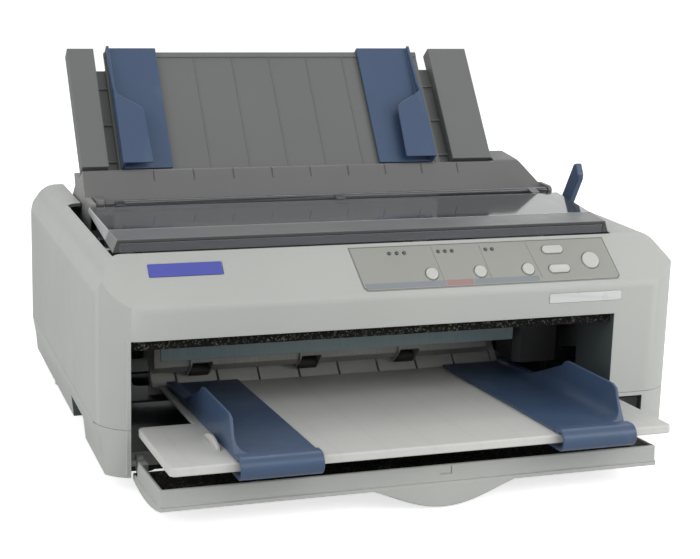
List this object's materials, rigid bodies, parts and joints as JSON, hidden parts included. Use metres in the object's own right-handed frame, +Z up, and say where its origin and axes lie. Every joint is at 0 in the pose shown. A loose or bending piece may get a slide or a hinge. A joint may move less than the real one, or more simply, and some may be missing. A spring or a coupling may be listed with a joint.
{
  "type": "dot matrix printer",
  "caption": "Desktop dot matrix printer with hinged smoked cover, upright rear sheet guide and front sheet guide over a fold-down cover.",
  "frame": {"origin": "middle of the footprint, on the surface the printer stands on", "axes": "+X to the printer's right seen from its front, +Y from its front to its back, +Z up"},
  "size_m": [0.421, 0.4212, 0.2614],
  "materials": {
    "case": "fine moulded grain",
    "pale": "smooth moulded",
    "grey": "fine grain",
    "hood": "semi-matt",
    "blue": "semi-matt",
    "smoke": "clear, lightly smoked",
    "black": "satin",
    "rubber": "matt",
    "foam": "open-cell foam",
    "steel": "plated sheet",
    "teal": "matt paint",
    "gear": "natural",
    "board": "solder mask"
  },
  "bodies": {
    "printer": {"lower_case": "case", "upper_case": "case", "rubber_feet": "rubber", "screws": "steel", "control_panel": "pale", "panel_board": "board", "front_sheet_guide": "pale", "mouth_foam": "foam", "separator_hood": "hood", "base_frame": "steel", "left_frame": "steel", "right_frame": "steel", "gear_plate": "steel", "cross_beam": "teal", "paper_guide_plate": "steel", "lower_paper_guide": "pale", "carriage_shaft": "steel", "carriage_motor": "black", "drive_belt": "rubber", "feed_motor": "black", "ribbon_cartridge": "black", "main_board": "board", "power_supply": "board", "tractor_shaft": "steel"},
    "front_door": {"front_cover": "case", "front_cover_foam": "foam"},
    "top_cover": {"cover_window": "smoke", "cover_bar": "grey"},
    "rear_guide": {"rear_sheet_guide": "grey"},
    "rear_left_edge": {"rear_edge_guide_left": "blue"},
    "rear_right_edge": {"rear_edge_guide_right": "blue"},
    "front_left_edge": {"front_edge_guide_left": "blue"},
    "front_right_edge": {"front_edge_guide_right": "blue"},
    "paper_lever": {"release_lever": "blue"},
    "gap_lever": {"thickness_lever": "blue"},
    "platen": {"platen_roller": "rubber", "platen_shaft": "steel", "platen_gear": "gear", "platen_knob": "grey"},
    "idler": {"feed_idler": "gear"},
    "pinion": {"feed_pinion": "gear"},
    "large_idler": {"tractor_idler": "gear"},
    "tractor_drive": {"tractor_drive_shaft": "steel"},
    "left_tractor": {"tractor_left": "grey"},
    "right_tractor": {"tractor_right": "grey"},
    "left_sprocket": {"sprocket_left": "gear"},
    "right_sprocket": {"sprocket_right": "gear"},
    "head_carriage": {"carriage": "black", "print_head": "steel"},
    "drive_pulley": {"motor_pulley": "gear"},
    "idle_pulley": {"tension_pulley": "gear"},
    "pressure_rollers": {"pinch_rollers": "rubber"},
    "ribbon_winder": {"ribbon_knob": "black"},
    "select_1": {"select_button_1": "pale"},
    "select_2": {"select_button_2": "pale"},
    "select_3": {"select_button_3": "pale"},
    "feed": {"feed_button": "pale"},
    "load": {"load_button": "pale"},
    "pause": {"pause_button": "pale"},
    "power_rocker": {"power_switch": "black"}
  },
  "joints": [
    {"name": "front_cover_hinge", "type": "hinge", "parent": "printer", "child": "front_door", "pos_m": [-0.0206, -0.10405, 0.0175], "axis": [-1, 0, 0], "range_deg": [0, 9]},
    {"name": "printer_cover_hinge", "type": "hinge", "parent": "printer", "child": "top_cover", "pos_m": [-0.0035, 0.06515, 0.1552], "axis": [-1, 0, 0], "range_deg": [0, 95]},
    {"name": "rear_guide_hinge", "type": "hinge", "parent": "printer", "child": "rear_guide", "pos_m": [-0.0035, 0.11865, 0.163], "axis": [-1, 0, 0], "range_deg": [0, 50]},
    {"name": "rear_left_edge_slide", "type": "slide", "parent": "rear_guide", "child": "rear_left_edge", "axis": [1, 0, 0], "range_m": [-0.008, 0.03]},
    {"name": "rear_right_edge_slide", "type": "slide", "parent": "rear_guide", "child": "rear_right_edge", "axis": [1, 0, 0], "range_m": [-0.12, 0.014]},
    {"name": "front_left_edge_slide", "type": "slide", "parent": "printer", "child": "front_left_edge", "axis": [1, 0, 0], "range_m": [0, 0.02]},
    {"name": "front_right_edge_slide", "type": "slide", "parent": "printer", "child": "front_right_edge", "axis": [1, 0, 0], "range_m": [-0.11, 0.027]},
    {"name": "paper_lever_hinge", "type": "hinge", "parent": "printer", "child": "paper_lever", "pos_m": [0.186, 0.07665, 0.097], "axis": [-1, 0, 0], "range_deg": [0, 30]},
    {"name": "gap_lever_hinge", "type": "hinge", "parent": "printer", "child": "gap_lever", "pos_m": [-0.1905, -0.00335, 0.092], "axis": [-1, 0, 0], "range_deg": [-6, 14]},
    {"name": "platen_spin", "type": "hinge", "parent": "printer", "child": "platen", "pos_m": [-0.0035, 0.04465, 0.104], "axis": [1, 0, 0], "continuous": true},
    {"name": "feed_idler_spin", "type": "hinge", "parent": "printer", "child": "idler", "pos_m": [0.1615, 0.04465, 0.07148], "axis": [1, 0, 0], "continuous": true},
    {"name": "feed_pinion_spin", "type": "hinge", "parent": "printer", "child": "pinion", "pos_m": [0.1615, 0.04465, 0.05096], "axis": [1, 0, 0], "continuous": true},
    {"name": "tractor_idler_spin", "type": "hinge", "parent": "printer", "child": "large_idler", "pos_m": [0.1615, 0.09993, 0.10188], "axis": [1, 0, 0], "continuous": true},
    {"name": "tractor_drive_spin", "type": "hinge", "parent": "printer", "child": "tractor_drive", "pos_m": [0.1615, 0.14921, 0.09998], "axis": [1, 0, 0], "continuous": true},
    {"name": "left_tractor_slide", "type": "slide", "parent": "printer", "child": "left_tractor", "axis": [1, 0, 0], "range_m": [-0.025, 0.06]},
    {"name": "right_tractor_slide", "type": "slide", "parent": "printer", "child": "right_tractor", "axis": [1, 0, 0], "range_m": [-0.08, 0.02]},
    {"name": "left_sprocket_spin", "type": "hinge", "parent": "left_tractor", "child": "left_sprocket", "pos_m": [-0.1435, 0.14921, 0.09998], "axis": [1, 0, 0], "continuous": true},
    {"name": "right_sprocket_spin", "type": "hinge", "parent": "right_tractor", "child": "right_sprocket", "pos_m": [0.1025, 0.14921, 0.09998], "axis": [1, 0, 0], "continuous": true},
    {"name": "carriage_slide", "type": "slide", "parent": "printer", "child": "head_carriage", "axis": [1, 0, 0], "range_m": [-0.012, 0.205]},
    {"name": "motor_pulley_spin", "type": "hinge", "parent": "printer", "child": "drive_pulley", "pos_m": [0.1245, -0.02935, 0.084], "axis": [0, 0, 1], "continuous": true},
    {"name": "tension_pulley_spin", "type": "hinge", "parent": "printer", "child": "idle_pulley", "pos_m": [-0.1685, -0.02935, 0.084], "axis": [0, 0, 1], "continuous": true},
    {"name": "pinch_roller_spin", "type": "hinge", "parent": "printer", "child": "pressure_rollers", "pos_m": [-0.0385, 0.00065, 0.045], "axis": [1, 0, 0], "continuous": true},
    {"name": "ribbon_knob_spin", "type": "hinge", "parent": "printer", "child": "ribbon_winder", "pos_m": [-0.1755, -0.04935, 0.128], "axis": [0, 0, 1], "continuous": true},
    {"name": "select_button_1_press", "type": "slide", "parent": "printer", "child": "select_1", "axis": [0, 0.761, -0.6487], "range_m": [0, 0.0012], "stiffness_N_per_m": 600, "springref_m": -0.0006},
    {"name": "select_button_2_press", "type": "slide", "parent": "printer", "child": "select_2", "axis": [0, 0.761, -0.6487], "range_m": [0, 0.0012], "stiffness_N_per_m": 600, "springref_m": -0.0006},
    {"name": "select_button_3_press", "type": "slide", "parent": "printer", "child": "select_3", "axis": [0, 0.761, -0.6487], "range_m": [0, 0.0012], "stiffness_N_per_m": 600, "springref_m": -0.0006},
    {"name": "feed_button_press", "type": "slide", "parent": "printer", "child": "feed", "axis": [0, 0.761, -0.6487], "range_m": [0, 0.0012], "stiffness_N_per_m": 600, "springref_m": -0.0006},
    {"name": "load_button_press", "type": "slide", "parent": "printer", "child": "load", "axis": [0, 0.761, -0.6487], "range_m": [0, 0.0012], "stiffness_N_per_m": 600, "springref_m": -0.0006},
    {"name": "pause_button_press", "type": "slide", "parent": "printer", "child": "pause", "axis": [0, 0.761, -0.6487], "range_m": [0, 0.0012], "stiffness_N_per_m": 600, "springref_m": -0.0006},
    {"name": "power_switch_rock", "type": "hinge", "parent": "printer", "child": "power_rocker", "pos_m": [0.1658, -0.10785, 0.031], "axis": [0, 0, 1], "range_deg": [0, 12]}
  ],
  "couplings": [
    {"joint": "feed_idler_spin", "follows": "platen_spin", "ratio": -1.7},
    {"joint": "feed_pinion_spin", "follows": "platen_spin", "ratio": 2.4286},
    {"joint": "tractor_idler_spin", "follows": "platen_spin", "ratio": -0.58621},
    {"joint": "tractor_drive_spin", "follows": "platen_spin", "ratio": 1.4167},
    {"joint": "left_sprocket_spin", "follows": "platen_spin", "ratio": 1.4167},
    {"joint": "right_sprocket_spin", "follows": "platen_spin", "ratio": 1.4167},
    {"joint": "motor_pulley_spin", "follows": "carriage_slide", "rad_per_m": -151.29},
    {"joint": "tension_pulley_spin", "follows": "carriage_slide", "rad_per_m": -151.29}
  ]
}
